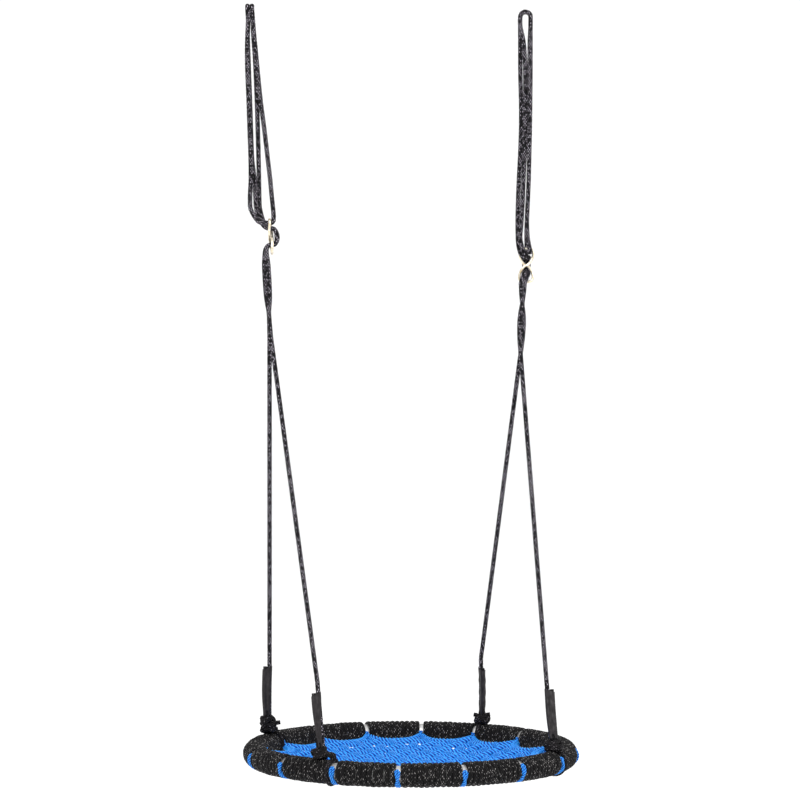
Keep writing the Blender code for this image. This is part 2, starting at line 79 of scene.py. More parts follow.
NECK_Z = 28.5 * MM
LINE_END_Z = 47 * MM
KNOT_TOP = {"front_left": 40 * MM, "front_right": 41 * MM, "rear_left": 55 * MM, "rear_right": 37.5 * MM}
SLEEVE_L = {"front_left": 91 * MM, "front_right": 85 * MM, "rear_left": 87 * MM, "rear_right": 85 * MM}
SLEEVE_LEAN = {"front_left": 0.7, "front_right": 1.0, "rear_left": 0.45, "rear_right": -0.05}
SLEEVE_TURN = {"front_left": -18, "front_right": 162, "rear_left": -18, "rear_right": 92}

HANGERS = {
    "left": {"side": -1, "turn": math.radians(15.3), "ring_top": -0.3646, "apex": -0.571,
             "twist": [(-0.4296, 118), (-0.445, 152), (-0.460, 176), (-0.485, 190), (-0.505, 215),
                       (-0.5285, 266), (-0.571, 285.3)]},
    "right": {"side": 1, "turn": math.radians(-69.4), "ring_top": -0.4180, "apex": -0.6225,
              "twist": [(-0.483, 118), (-0.500, 143), (-0.5202, 180), (-0.538, 226), (-0.5553, 268),
                        (-0.585, 315), (-0.6225, 380.6)]},
}

# hanging strands: (fraction of the way down to the adjuster, n, w), then points (z, n, w) in mm from its top
STRAND_FALL = {
    "near": [(0.15, -8.6, -10.2), (0.24, -11.4, -10.8), (0.43, -14.1, -11.4), (0.574, -16.4, -11.2),
             (0.72, -18.6, -10.6), (0.815, -21.1, -9.6), (0.888, -24.4, -9.0), (0.92, -25.4, -9.4)],
    "far": [(0.1, -6.6, 3.4), (0.186, -8.2, -0.2), (0.43, -11.8, -2.8), (0.574, -14.1, -2.8),
            (0.72, -16.0, -1.2), (0.8, -14.6, -0.4), (0.9, -15.2, 1.4)],
    "inner": [(0.1, 3.2, 8.8), (0.24, 2.8, 7.6), (0.43, 0.4, 4.8), (0.571, -1.9, 5.2), (0.717, -4.6, 7.2),
              (0.813, -6.6, 8.0), (0.9, -8.6, 8.0)],
    "outer": [(0.1, 4.2, -8.6), (0.24, 5.3, -9.0), (0.43, 6.8, -10.4), (0.575, 9.6, -10.8),
              (0.72, 11.7, -10.6), (0.815, 13.1, -9.2), (0.89, 13.6, -8.4), (0.93, 14.0, -8.4)],
}
STRAND_TOP = {"near": (-1, -1), "far": (-1, 1), "inner": (1, 1), "outer": (1, -1)}
BIGHT_BEND = [(18, -25.5, -10.6), (4, -20, -13.2), (-6, -13, -15.4), (-9, -5.5, -15.4), (-8.4, 0.5, -12.9),
              (-9.2, 6.5, -9), (-6.5, 12.2, -9), (1, 14, -9), (14, 14.3, -8.6)]
# doubled rope through the adjuster: (z, n, w, angle of the pair from n)
WEAVE = [(20, -12.3, 5, 35), (9, -10.6, 4, 40), (-2, -7.8, 1.5, 52), (-11, -4.4, -2, 68),
         (-17, 0.5, -6.5, 82), (-17.7, 6.5, -9, 90), (-18.8, 12, -9, 90), (-24.5, 16.3, -9, 86),
         (-32.5, 17.5, -9, 80), (-40.5, 16.3, -9, 86), (-46.2, 12, -9, 90), (-47.6, 6.5, -9, 90),
         (-48.8, 0.5, -8.6, 92), (-55, -3.5, -6.5, 102), (-65, -5, -3.4, 118)]

# ------------------------------------------------------------------ camera
FOCAL_PX = 2962.0
CAMERA_AT = (-1.6306, -5.0602, -0.5573)
CAMERA_TURN = [math.radians(a) for a in (17.965, 1.438, -0.728)]


def make_camera():
    yaw, pitch, roll = CAMERA_TURN
    ahead = Vector((math.sin(yaw) * math.cos(pitch), math.cos(yaw) * math.cos(pitch), -math.sin(pitch)))
    right = Vector((math.cos(yaw), -math.sin(yaw), 0))
    up = right.cross(ahead)
    right = right * math.cos(roll) + up * math.sin(roll)
    up = right.cross(ahead)
    data = bpy.data.cameras.new("camera")
    data.sensor_width = 36.0
    data.lens = FOCAL_PX * 36.0 / 800
    data.clip_end = 100
    camera = bpy.data.objects.new("camera", data)
    bpy.context.scene.collection.objects.link(camera)
    matrix = Matrix((right, up, -ahead)).transposed().to_4x4()
    matrix.translation = CAMERA_AT
    camera.matrix_world = matrix
    bpy.context.scene.camera = camera
    bpy.context.scene.view_settings.view_transform = "Standard"


make_camera()


# ------------------------------------------------------------------ node materials

class Shader:
    """A material being wired: m("ADD", a, b) makes a math node and gives its output."""

    def __init__(self, name):
        self.material = bpy.data.materials.new(name)
        self.material.use_nodes = True
        self.tree = self.material.node_tree
        self.out = self.tree.nodes["Principled BSDF"]

    def node(self, kind, **settings):
        made = self.tree.nodes.new(kind)
        for key, value in settings.items():
            setattr(made, key, value)
        return made

    def put(self, socket, value):
        if hasattr(value, "is_output"):
            self.tree.links.new(value, socket)
        else:
            socket.default_value = value

    def m(self, operation, *values):
        made = self.node("ShaderNodeMath", operation=operation)
        for socket, value in zip(made.inputs, values):
            self.put(socket, value)
        return made.outputs[0]

    def uv(self):
        made = self.node("ShaderNodeUVMap", uv_map="rope")
        split = self.node("ShaderNodeSeparateXYZ")
        self.tree.links.new(made.outputs[0], split.inputs[0])
        return split.outputs[0], split.outputs[1]

    def vector(self, *parts):
        made = self.node("ShaderNodeCombineXYZ")
        for socket, value in zip(made.inputs, parts):
            self.put(socket, value)
        return made.outputs[0]

    def place(self):
        return self.node("ShaderNodeTexCoord").outputs["Object"]

    def noise(self, where, scale, detail=2.0, roughness=0.5):
        made = self.node("ShaderNodeTexNoise")
        self.put(made.inputs["Vector"], where)
        made.inputs["Scale"].default_value = scale
        made.inputs["Detail"].default_value = detail
        made.inputs["Roughness"].default_value = roughness
        return made.outputs["Fac"]

    def random(self, where):
        made = self.node("ShaderNodeTexWhiteNoise", noise_dimensions="3D")
        self.put(made.inputs["Vector"], where)
        return made.outputs["Value"]

    def range(self, value, low, high, to_low=0.0, to_high=1.0):
        made = self.node("ShaderNodeMapRange")
        for socket, v in zip(made.inputs, (value, low, high, to_low, to_high)):
            self.put(socket, v)
        return made.outputs[0]

    def mix(self, share, first, second):
        made = self.node("ShaderNodeMix", data_type="RGBA")
        self.put(made.inputs[0], share)
        for socket, colour in ((made.inputs[6], first), (made.inputs[7], second)):
            self.put(socket, (*colour, 1.0) if isinstance(colour, tuple) else colour)
        return made.outputs[2]

    def bump(self, height, distance, strength=1.0):
        made = self.node("ShaderNodeBump")
        made.inputs["Strength"].default_value = strength
        made.inputs["Distance"].default_value = distance
        self.put(made.inputs["Height"], height)
        self.tree.links.new(made.outputs[0], self.out.inputs["Normal"])

    def set(self, **values):
        for name, value in values.items():
            socket = self.out.inputs[name.replace("_", " ")]
            self.put(socket, (*value, 1.0) if isinstance(value, tuple) and len(value) == 3 else value)
        return self.material


def braid_material(name, dark, light, glint, cell, share, fat, roughness=0.55):
    """Braided rope: each crossing's upper yarn runs one way or the other and may carry a painted highlight, a
    thin bright streak; each cell is painted darker towards its edges as shade in the grooves, with a random
    tone per cell.
    """
    s = Shader(name)
    u, v = s.uv()
    along = s.m("DIVIDE", u, cell)
    around = s.m("MULTIPLY", v, CARRIERS)
    a = s.m("ADD", along, around)
    b = s.m("SUBTRACT", along, around)
    fa, fb = s.m("FRACT", a), s.m("FRACT", b)
    ia, ib = s.m("FLOOR", a), s.m("FLOOR", b)
    pillow = s.m("MULTIPLY", s.m("SINE", s.m("MULTIPLY", fa, math.pi)),
                 s.m("SINE", s.m("MULTIPLY", fb, math.pi)))
    odd = s.m("PINGPONG", s.m("ADD", ia, ib), 1.0)
    even = s.m("SUBTRACT", 1.0, odd)
    off_a = s.m("ABSOLUTE", s.m("SUBTRACT", fa, 0.5))
    off_b = s.m("ABSOLUTE", s.m("SUBTRACT", fb, 0.5))
    across = s.m("ADD", s.m("MULTIPLY", off_b, odd), s.m("MULTIPLY", off_a, even))
    length = s.m("ADD", s.m("MULTIPLY", off_a, odd), s.m("MULTIPLY", off_b, even))
    yarn = s.m("SINE", s.m("MULTIPLY", across, 3 * TAU))
    height = s.m("ADD", pillow, s.m("MULTIPLY", yarn, 0.12))
    chance = s.random(s.vector(ia, ib, 0.0))
    lit = s.range(chance, 1 - share, 1 - share * 0.35)
    # painted highlight: a thin bright streak along the upper yarn of the cells picked by chance, in the glint
    # colour
    highlight_streak = s.m("MULTIPLY", s.range(across, fat, fat * 2.4, 1.0, 0.0), s.range(length, 0.20, 0.42, 1.0, 0.0))
    # painted shade: each cell lighter on its crown and darker towards its edges, where the grooves are, plus
    # a random tone per cell
    base = s.mix(s.range(s.m("ADD", pillow, s.m("MULTIPLY", chance, 0.4)), 0.1, 1.3), dark, light)
    s.bump(height, 0.0012, 0.9)
    return s.set(Base_Color=s.mix(s.m("MULTIPLY", highlight_streak, lit), base, glint),
                 Roughness=s.range(pillow, 0.0, 1.0, roughness + 0.35, roughness), Specular_IOR_Level=0.14)


def laid_material(name, groove_shade, body, crest, pitch, roughness=0.42):
    """Three-strand rope: painted shade in the grooves between the strands and a painted highlight on their
    crests, following the lay, with fine yarns running along each strand.
    """
    s = Shader(name)
    u, v = s.uv()
    turn = s.m("MULTIPLY", s.m("SUBTRACT", v, s.m("DIVIDE", u, pitch)), 3.0)
    across = s.m("ABSOLUTE", s.m("SUBTRACT", s.m("FRACT", turn), 0.5))
    ridge = s.range(across, 0.0, 0.5, 1.0, 0.0)
    yarns = s.noise(s.vector(s.m("MULTIPLY", turn, 9.0), s.m("MULTIPLY", u, 120.0), 0.0), 1.0, 3.0, 0.6)
    tone = s.m("ADD", ridge, s.m("MULTIPLY", s.m("SUBTRACT", yarns, 0.5), 0.55))
    # painted shade in the grooves, the strands' own colour between, painted highlight on the crests
    base = s.mix(s.range(tone, 0.12, 0.60), groove_shade, body)
    base = s.mix(s.range(tone, 0.55, 1.10), base, crest)
    s.bump(yarns, 0.0006, 0.5)
    return s.set(Base_Color=base, Roughness=s.range(yarns, 0.3, 0.7, roughness, roughness + 0.2),
                 Specular_IOR_Level=0.18)


def sleeve_material():
    """Shrunk black tube: faint lengthwise drawing marks, dusty ridges and a soft sheen."""
    s = Shader("shrink_sleeve")
    u, v = s.uv()
    streak = s.noise(s.vector(s.m("MULTIPLY", v, 26.0), s.m("MULTIPLY", u, 55.0), 0.0), 1.0, 3.0, 0.6)
    cloud = s.noise(s.place(), 140.0, 3.0)
    tone = s.m("MULTIPLY", s.range(streak, 0.35, 0.75), s.range(cloud, 0.3, 0.7))
    s.bump(s.m("ADD", streak, cloud), 0.0005, 0.35)
    return s.set(Base_Color=s.mix(tone, (0.0065, 0.0052, 0.0062), (0.040, 0.035, 0.039)),
                 Roughness=s.range(streak, 0.3, 0.7, 0.36, 0.55), Specular_IOR_Level=0.22)


def wire_material():
    """Zinc plating with a pale yellow passivation, a little cloudy and rubbed bright in places."""
    s = Shader("plated_wire")
    cloud = s.noise(s.place(), 260.0, 4.0, 0.6)
    fine = s.noise(s.place(), 1500.0, 2.0)
    s.bump(s.m("ADD", cloud, s.m("MULTIPLY", fine, 0.4)), 0.0002, 0.35)
    return s.set(Base_Color=s.mix(s.range(cloud, 0.35, 0.65), (0.62, 0.50, 0.30), (0.86, 0.83, 0.74)),
                 Roughness=s.range(fine, 0.3, 0.7, 0.22, 0.36), Metallic=1.0)


def tube_material():
    """Galvanised tube: spangle and dull streaks."""
    s = Shader("galvanised_tube")
    cell = s.node("ShaderNodeTexVoronoi", feature="F1")
    s.put(cell.inputs["Vector"], s.place())
    cell.inputs["Scale"].default_value = 160.0
    split = s.node("ShaderNodeSeparateColor")
    s.tree.links.new(cell.outputs["Color"], split.inputs[0])
    dust = s.noise(s.place(), 300.0, 4.0)
    tone = s.m("ADD", s.m("MULTIPLY", split.outputs[0], 0.5), s.m("MULTIPLY", dust, 0.6))
    s.bump(dust, 0.0002, 0.3)
    return s.set(Base_Color=s.mix(s.range(tone, 0.2, 0.9), (0.36, 0.355, 0.35), (0.66, 0.66, 0.655)),
                 Roughness=s.range(tone, 0.2, 0.9, 0.55, 0.36), Metallic=0.75)


HANG_CELL = 6.4 * MM
WRAP_CELL = 6.0 * MM
CARRIERS = 6
# each braid: dark is the painted shade at the cell edges, light the cell crowns, then the painted highlight's
# colour, the cell size, the share of cells with a highlight and its width
BLACK_ROPE = braid_material("black_hanger_rope", (0.0012, 0.0010, 0.0016), (0.0080, 0.0066, 0.0092),
                            (0.50, 0.46, 0.53), HANG_CELL, 0.70, 0.095)
KNOT_ROPE = braid_material("black_knot_rope", (0.0012, 0.0010, 0.0014), (0.0085, 0.0072, 0.0090),
                           (0.13, 0.12, 0.13), HANG_CELL, 0.45, 0.08)
WRAP_ROPE = braid_material("black_wrap_rope", (0.0010, 0.0009, 0.0011), (0.0060, 0.0054, 0.0060),
                           (0.30, 0.285, 0.28), WRAP_CELL, 0.36, 0.07)
NET_PITCH = 21 * MM
TIE_PITCH = 14 * MM
# each laid rope: painted shade in the grooves, the strands' own colour, painted highlight on their crests,
# then the lay's pitch
NET_ROPE = laid_material("blue_laid_rope", (0.0012, 0.020, 0.20), (0.003, 0.125, 0.56),
                         (0.060, 0.47, 0.98), NET_PITCH)
TIE_ROPE = laid_material("blue_tie_rope", (0.0012, 0.016, 0.17), (0.003, 0.110, 0.52),
                         (0.060, 0.45, 0.97), TIE_PITCH)
SLEEVE = sleeve_material()
WIRE = wire_material()
TUBE = tube_material()


# ------------------------------------------------------------------ meshes from rings of points

def skin(name, rings, material, lengths, closed=False, smooth=True):
    """A tube through rows of points, as an array (rows, sides, 3), with a UV map of length and turn."""
    rows, sides = rings.shape[:2]
    points = rings.reshape(-1, 3)
    span = rows if closed else rows - 1
    i = np.arange(span)[:, None]
    j = np.arange(sides)[None, :]
    k = (j + 1) % sides
    low, high = i * sides, ((i + 1) % rows) * sides
    faces = np.stack([low + j, low + k, high + k, high + j], -1).reshape(-1, 4)
    reach = np.append(lengths, lengths[-1] + (lengths[-1] - lengths[-2])) if closed else lengths
    u0 = np.broadcast_to(reach[i], (span, sides))
    u1 = np.broadcast_to(reach[i + 1], (span, sides))
    v0 = np.broadcast_to(j / sides, (span, sides))
    v1 = v0 + 1 / sides
    uv = np.stack([u0, v0, u0, v1, u1, v1, u1, v0], -1).reshape(-1, 2)
    loops = faces.ravel()
    starts = np.arange(len(faces)) * 4
    if not closed:
        ends = np.array([rings[0].mean(0), rings[-1].mean(0)])
        points = np.vstack([points, ends])
        first, last = rows * sides, rows * sides + 1
        tail = (rows - 1) * sides
        jj, kk = np.arange(sides), (np.arange(sides) + 1) % sides
        caps = np.vstack([np.stack([kk, jj, np.full(sides, first)], -1),
                          np.stack([tail + jj, tail + kk, np.full(sides, last)], -1)])
        starts = np.append(starts, len(loops) + np.arange(len(caps)) * 3)
        loops = np.append(loops, caps.ravel())
        flat = np.zeros((len(caps) * 3, 2))
        flat[:, 0] = np.repeat([reach[0], reach[-1]], sides * 3)
        uv = np.vstack([uv, flat])
    mesh = bpy.data.meshes.new(name)
    mesh.vertices.add(len(points))
    mesh.vertices.foreach_set("co", points.astype(np.float32).ravel())
    mesh.loops.add(len(loops))
    mesh.loops.foreach_set("vertex_index", loops.astype(np.int32))
    mesh.polygons.add(len(starts))
    mesh.polygons.foreach_set("loop_start", starts.astype(np.int32))
    mesh.update(calc_edges=True)
    layer = mesh.uv_layers.new(name="rope")
    layer.data.foreach_set("uv", uv.astype(np.float32).ravel())
    mesh.validate()
    if smooth:
        mesh.shade_smooth()
    mesh.materials.append(material)
    return mesh


def link(name, mesh):
    obj = bpy.data.objects.new(name, mesh)
    bpy.context.scene.collection.objects.link(obj)
    return obj


def joined(name, meshes):
    """One object from several meshes that share their materials."""
    objects = [link(f"{name}_{i}", mesh) for i, mesh in enumerate(meshes)]
    with bpy.context.temp_override(active_object=objects[0], selected_editable_objects=objects,
                                   selected_objects=objects, object=objects[0]):
        bpy.ops.object.join()
    objects[0].name = name
    objects[0].data.name = name
    return objects[0]


def resample(points, step, closed=False):
    """Even points along a smooth curve through the given ones, as an array, with their lengths."""
    p = np.array([tuple(q) for q in points], float)
    if closed:
        ends = np.vstack([p[-1:], p, p[:2]])
    else:
        ends = np.vstack([2 * p[0] - p[1], p, 2 * p[-1] - p[-2]])
    share = np.linspace(0, 1, 24, endpoint=False)[:, None]
    fine = []
    for a, b, c, d in zip(ends, ends[1:], ends[2:], ends[3:]):
        t0 = 0.0
        t1, t2, t3 = t0 + np.cumsum([max(np.linalg.norm(q), 1e-9) ** 0.5 for q in (b - a, c - b, d - c)])
        t = t1 + (t2 - t1) * share
        one = (a * (t1 - t) + b * (t - t0)) / (t1 - t0)
        two = (b * (t2 - t) + c * (t - t1)) / (t2 - t1)
        three = (c * (t3 - t) + d * (t - t2)) / (t3 - t2)
        low = (one * (t2 - t) + two * (t - t0)) / (t2 - t0)
        high = (two * (t3 - t) + three * (t - t1)) / (t3 - t1)
        fine.append((low * (t2 - t) + high * (t - t1)) / (t2 - t1))
    fine = np.vstack(fine + [p[:1] if closed else p[-1:]])
    run = np.concatenate([[0], np.cumsum(np.linalg.norm(np.diff(fine, axis=0), axis=1))])
    count = max(2, int(round(run[-1] / step)))
    goals = np.linspace(0, run[-1], count + 1)
    even = np.stack([np.interp(goals, run, fine[:, k]) for k in range(3)], -1)
    if closed:
        return even[:-1], goals[:-1]
    return even, goals


def frames(line, start=(0.013, 0.02, 1.0), closed=False):
    """Two directions across the line at each point, turning no more than they must."""
    ahead = np.gradient(line, axis=0)
    if closed:
        ahead = np.roll(line, -1, 0) - np.roll(line, 1, 0)
    ahead /= np.linalg.norm(ahead, axis=1)[:, None]
    side = np.cross(ahead[0], start)
    if np.linalg.norm(side) < 0.2:
        side = np.cross(ahead[0], (1.0, 0.1, 0.0))
    sides = []
    for t in ahead:
        side = side - t * np.dot(side, t)
        side = side / np.linalg.norm(side)
        sides.append(side)
    sides = np.array(sides)
    ups = np.cross(ahead, sides)
    if closed:
        again = sides[-1] - ahead[0] * np.dot(sides[-1], ahead[0])
        slip = math.atan2(np.dot(again, ups[0]), np.dot(again, sides[0]))
        turn = -slip * np.arange(len(line))[:, None] / len(line)
        sides, ups = sides * np.cos(turn) + ups * np.sin(turn), ups * np.cos(turn) - sides * np.sin(turn)
    return sides, ups


def braid_relief(lengths, sides, carriers, cell):
    """Height, 0 to 1, of each braid cell, so that the crossings stand out in the mesh as well."""
    v = np.arange(sides)[None, :] / sides * carriers
    u = lengths[:, None] / cell
    return np.abs(np.sin(np.pi * (u + v)) * np.sin(np.pi * (u - v)))


def braided(name, line, lengths, material, radius=ROPE_R, sides=24, carriers=CARRIERS, cell=HANG_CELL,
            closed=False, flat=None, basis=None, phase=0.0):
    """A braided rope along a line; flat squeezes it along the first direction of basis."""
    one, two = basis if basis is not None else frames(line, closed=closed)
    angle = TAU * np.arange(sides)[None, :] / sides
    r = radius * (0.93 + 0.10 * braid_relief(lengths + phase, sides, carriers, cell))
    squeeze = 1.0 if flat is None else flat
    ring = (line[:, None, :] + (one[:, None, :] * np.cos(angle)[..., None] * squeeze
                                + two[:, None, :] * np.sin(angle)[..., None]) * r[..., None])
    return skin(name, ring, material, lengths + phase, closed=closed)


def laid_radius(angle):
    """Outline of three strands laid together, 1 at each strand's crest."""
    ring, strand = 0.536, 0.464
    phi = (angle + np.pi / 3) % (TAU / 3) - np.pi / 3
    reach = ring * np.cos(phi) + np.sqrt(np.maximum(strand ** 2 - (ring * np.sin(phi)) ** 2, 0))
    return np.maximum(reach, 0.70)


def laid(name, line, lengths, material, radius, pitch, sides=18, closed=False, scale=None):
    """A three-strand laid rope along a line."""
    one, two = frames(line, closed=closed)
    angle = TAU * np.arange(sides)[None, :] / sides
    r = radius * laid_radius(angle - TAU * lengths[:, None] / pitch - np.pi / 3)
    if scale is not None:
        r = r * scale[:, None]
    ring = line[:, None, :] + (one[:, None, :] * np.cos(angle)[..., None]
                               + two[:, None, :] * np.sin(angle)[..., None]) * r[..., None]
    return skin(name, ring, material, lengths, closed=closed)


# ------------------------------------------------------------------ places, as in the CAD

def corner_angle(corner, beyond=0.0):
    degrees = CORNERS[corner]
    toward_line = math.copysign(1, degrees) * (1 if abs(degrees) < 90 else -1)
    return math.radians(degrees) + toward_line * (TIE_OFFSET + beyond) / HOOP_R


SEAT = Matrix.Translation((SEAT_SHIFT, 0, -SEAT_DROP)) @ Matrix.Rotation(SEAT_TILT, 4, "Y")


def hanger_line(hanger, z):
    top = Vector((hanger["side"] * HANG_HALF, 0, 0))
    corner = HOOP_R * math.sin(math.radians(45))
    low = SEAT @ Vector((hanger["side"] * corner, 0, LINE_END_Z))
    return top.lerp(low, z / low.z)


def hanger_direction(hanger, angle):
    turn = hanger["turn"]
    side = Vector((math.cos(turn), -math.sin(turn), 0))
    along = Vector((math.sin(turn), math.cos(turn), 0))
    return side * math.cos(angle) + along * math.sin(angle)


def hanger_place(hanger, z, n, w):
    return (hanger_line(hanger, z) + hanger_direction(hanger, 0) * n * MM
            + hanger_direction(hanger, math.pi / 2) * w * MM)


def ring_place(hanger, z, n, w):
    return hanger_place(hanger, hanger["ring_top"] + z * MM, n, w)


def strand_points(hanger, strand):
    n, w = STRAND_TOP[strand]
    points = [hanger_place(hanger, LOOP_END_Z, n * LAID / MM * 1.05, w * LOOP_HALF / MM)]
    points += [hanger_place(hanger, share * hanger["ring_top"], n, w) for share, n, w in STRAND_FALL[strand]]
    return points


def doubled_share(hanger, z):
    start = hanger["ring_top"] + WEAVE[-1][0] * MM
    return (z - start) / (hanger["apex"] - start)


def doubled_place(hanger, z):
    share = doubled_share(hanger, z)
    _, n, w, _ = WEAVE[-1]
    return hanger_place(hanger, z, n + (APEX_N - n) * share, w + (APEX_W - w) * share)


def doubled_angle(hanger, z):
    """The two ropes turn about each other, and end one behind the other along the swing's Y."""
    table = hanger["twist"]
    for (high, first), (low, last) in zip(table, table[1:]):
        if z >= low:
            return math.radians(first + (last - first) * (z - high) / (low - high))
    return math.radians(table[-1][1])


def apex_place(hanger):
    return hanger_place(hanger, hanger["apex"], APEX_N, APEX_W)


def corner_frame(corner):
    """Knot's top and the place where the ropes divide, in the seat's frame."""
    angle = corner_angle(corner, KNOT_SHIFT[corner])
    foot = Vector((HOOP_R * math.sin(angle), -HOOP_R * math.cos(angle), KNOT_TOP[corner]))
    hanger = HANGERS["left" if corner.endswith("left") else "right"]
    apex = apex_place(hanger) + Vector((0, LAID if corner.startswith("rear") else -LAID, 0))
    return foot, SEAT.inverted() @ apex


def leg_axes(corner):
    foot, head = corner_frame(corner)
    leg = (head - foot).normalized()
    lean = SLEEVE_LEAN[corner]
    along = Vector((leg.x * lean, leg.y * lean, leg.z)).normalized()
    turn = math.radians(SLEEVE_TURN[corner])
    wide = Vector((math.cos(turn), math.sin(turn), 0))
    wide = (wide - along * wide.dot(along)).normalized()
    return along, wide


def leg_points(corner):
    """The leg from where the ropes divide down into its knot, in world places."""
    foot, head = corner_frame(corner)
    along, wide = leg_axes(corner)
    low = foot + along * (1.5 * MM) + wide * LAID
    inside = [low + along * share * (SLEEVE_L[corner] + 3 * MM) for share in (1.2, 1.04, 0.5, 0.0)]
    points = [head.lerp(inside[0], share) for share in (0.05, 0.2, 0.5, 0.8, 0.96)] + inside
    return [SEAT @ p for p in points]


# ------------------------------------------------------------------ hanger ropes: one long rope each

ROPE_STEP = 1.4 * MM
CUT_Z = -0.060                    # where the loop's piece hands over to the hanging strands
HANDOVER = 20                     # height above the adjuster's top, mm, where the strand becomes the weave


def loop_points(hanger, sign):
    """One rope's arch over the hook."""
    points = []
    for degrees in range(15, 170, 15):
        angle = math.radians(degrees)
        points.append(hanger_place(hanger, 0, sign * LAID / MM, -LOOP_HALF / MM * math.cos(angle))
                      + Vector((0, 0, LOOP_HALF * math.sin(angle))))
    return points


def woven_points(hanger, sign):
    """One rope of the pair, from above the adjuster through it and down to where the legs part."""
    points = [ring_place(hanger, z, n, w) + hanger_direction(hanger, math.radians(a)) * sign * LAID
              for z, n, w, a in WEAVE]
    low, apex = points[-1].z, hanger["apex"]
    count = max(3, round((low - apex) / (9 * MM)))
    for k in range(1, count + 1):
        z = low + (apex - low) * k / count
        aside = hanger_direction(hanger, doubled_angle(hanger, z)) * sign * LAID
        points.append(doubled_place(hanger, z) + aside)
    return points


def hanger_route(side):
    """One whole rope: far leg, weave, over the hook, down, up through the adjuster, over and down again."""
    hanger = HANGERS[side]
    apex = hanger["apex"]
    low = hanger_direction(hanger, doubled_angle(hanger, apex))
    first = 1 if low.y > 0 else -1
    rear, front = leg_points(f"rear_{side}"), leg_points(f"front_{side}")
    signs = {"rear": first, "front": -first}
    far_is = "rear" if signs["rear"] == -1 else "front"
    legs = {"rear": rear, "front": front}
    near_is = "front" if far_is == "rear" else "rear"
    bend = [ring_place(hanger, *point) for point in BIGHT_BEND]
    sections = [
        (f"leg_{far_is}_{side}", legs[far_is][::-1]),
        (f"woven_far_{side}", woven_points(hanger, -1)[::-1]),
        (f"strand_far_{side}", strand_points(hanger, "far")[::-1]),
        (f"loop_near_{side}", loop_points(hanger, -1)[::-1]),
        (f"bight_{side}", strand_points(hanger, "near") + bend + strand_points(hanger, "outer")[::-1]),
        (f"loop_outer_{side}", loop_points(hanger, 1)),
        (f"strand_inner_{side}", strand_points(hanger, "inner")),
        (f"woven_inner_{side}", woven_points(hanger, 1)),
        (f"leg_{near_is}_{side}", legs[near_is]),
    ]
    return hanger, sections


def add_hanger(side):
    hanger, sections = hanger_route(side)
    points = [p for _, section in sections for p in section]
    line, lengths = resample(points, ROPE_STEP)
    one, two = frames(line)
    handover = hanger["ring_top"] + HANDOVER * MM
    z = line[:, 2]
    marks = [0]
    apex = hanger["apex"]
    levels = [apex, handover, CUT_Z, CUT_Z, CUT_Z, CUT_Z, handover, apex]
    rising = [True, True, True, False, True, False, False, False]
    at = 0
    for level, up in zip(levels, rising):
        while (z[at] < level) if up else (z[at] > level):
            at += 1
        marks.append(at)
    marks.append(len(z) - 1)
    names = [name for name, _ in sections]
    made = {}
    for name, a, b in zip(names, marks, marks[1:]):
        part = slice(a, b + 1)
        mesh = braided(name, line[part], lengths[part], BLACK_ROPE, basis=(one[part], two[part]))
        obj = link(name, mesh)
        made[name] = (obj, line[part], lengths[b] - lengths[a])
    for name, (obj, path, length) in made.items():
        kind, rest = name.split("_", 1)
        if kind == "loop":
            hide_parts(f"hook_loop_{side}")
            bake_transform(obj)
        elif kind in ("strand", "bight"):
            node = f"bight_{side}" if kind == "bight" else f"strand_{rest}"
            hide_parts(node)
            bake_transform(obj)
        elif kind == "woven":
            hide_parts(f"rope_in_adjuster_{side}", f"doubled_rope_{side}")
            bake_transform(obj)
        else:
            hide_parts(name)
            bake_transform(obj)
        step = max(1, len(path) // 60)
        points = [list(map(float, p)) for p in path[::step]]
        if len(path[::step]) * step - step + 1 < len(path):
            points.append(list(map(float, path[-1])))


for hanger_side in HANGERS:
    add_hanger(hanger_side)


# ------------------------------------------------------------------ adjusters

def add_ring(side):
    hanger = HANGERS[side]
    half_h = RING_H / 2 - RING_WIRE_R
    t = TAU * (np.arange(160) + 0.5) / 160
    wave = np.sin(2 * t)
    w = np.sign(wave) * np.abs(wave) ** 0.6 * RING_HALF_W / MM
    n = 1.03 * RING_WIRE_R / MM * np.sign(np.sin(t)) * np.abs(np.sin(t)) ** 4
    z = (half_h * np.cos(t) - RING_H / 2) / MM
    line = [ring_place(hanger, z[i], RING_N + n[i], RING_W + w[i]) for i in range(len(t))]
    line, lengths = resample(line, 0.9 * MM, closed=True)
    one, two = frames(line, closed=True)
    angle = TAU * np.arange(16)[None, :] / 16
    weld = np.exp(-((np.arange(len(line)) - 12.0) / 2.2) ** 2) * 0.16
    r = RING_WIRE_R * (1 + weld)[:, None]
    rings = line[:, None, :] + (one[:, None, :] * np.cos(angle)[..., None]
                                + two[:, None, :] * np.sin(angle)[..., None]) * r[..., None]
    obj = link(f"adjuster_wire_{side}", skin(f"adjuster_wire_{side}", rings, WIRE, lengths, closed=True))
    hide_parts(f"adjuster_ring_{side}")
    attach(obj, "adjusters")


for hanger_side in HANGERS:
    add_ring(hanger_side)


# ------------------------------------------------------------------ seat: places on it

def to_world(points):
    p = np.asarray(points, float)
    m = np.array(SEAT)
    return p @ m[:3, :3].T + m[:3, 3]


def seat_line(angle, radius, phi):
    """Points beside the hoop's centre line, from arrays of angle, radius and phi."""
    reach = HOOP_R + radius * np.cos(phi)
    return np.stack([reach * np.sin(angle), -reach * np.cos(angle), radius * np.sin(phi)], -1)


def add_tube():
    t = TAU * np.arange(192) / 192
    phi = TAU * np.arange(32)[None, :] / 32
    rings = seat_line(t[:, None] + 0 * phi, TUBE_R + 0 * phi, phi + 0 * t[:, None])
    obj = link("hoop_steel", skin("hoop_steel", to_world(rings), TUBE, t * HOOP_R, closed=True))
    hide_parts("hoop_tube")
    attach(obj, "seat")


add_tube()


# ------------------------------------------------------------------ rope wrapping

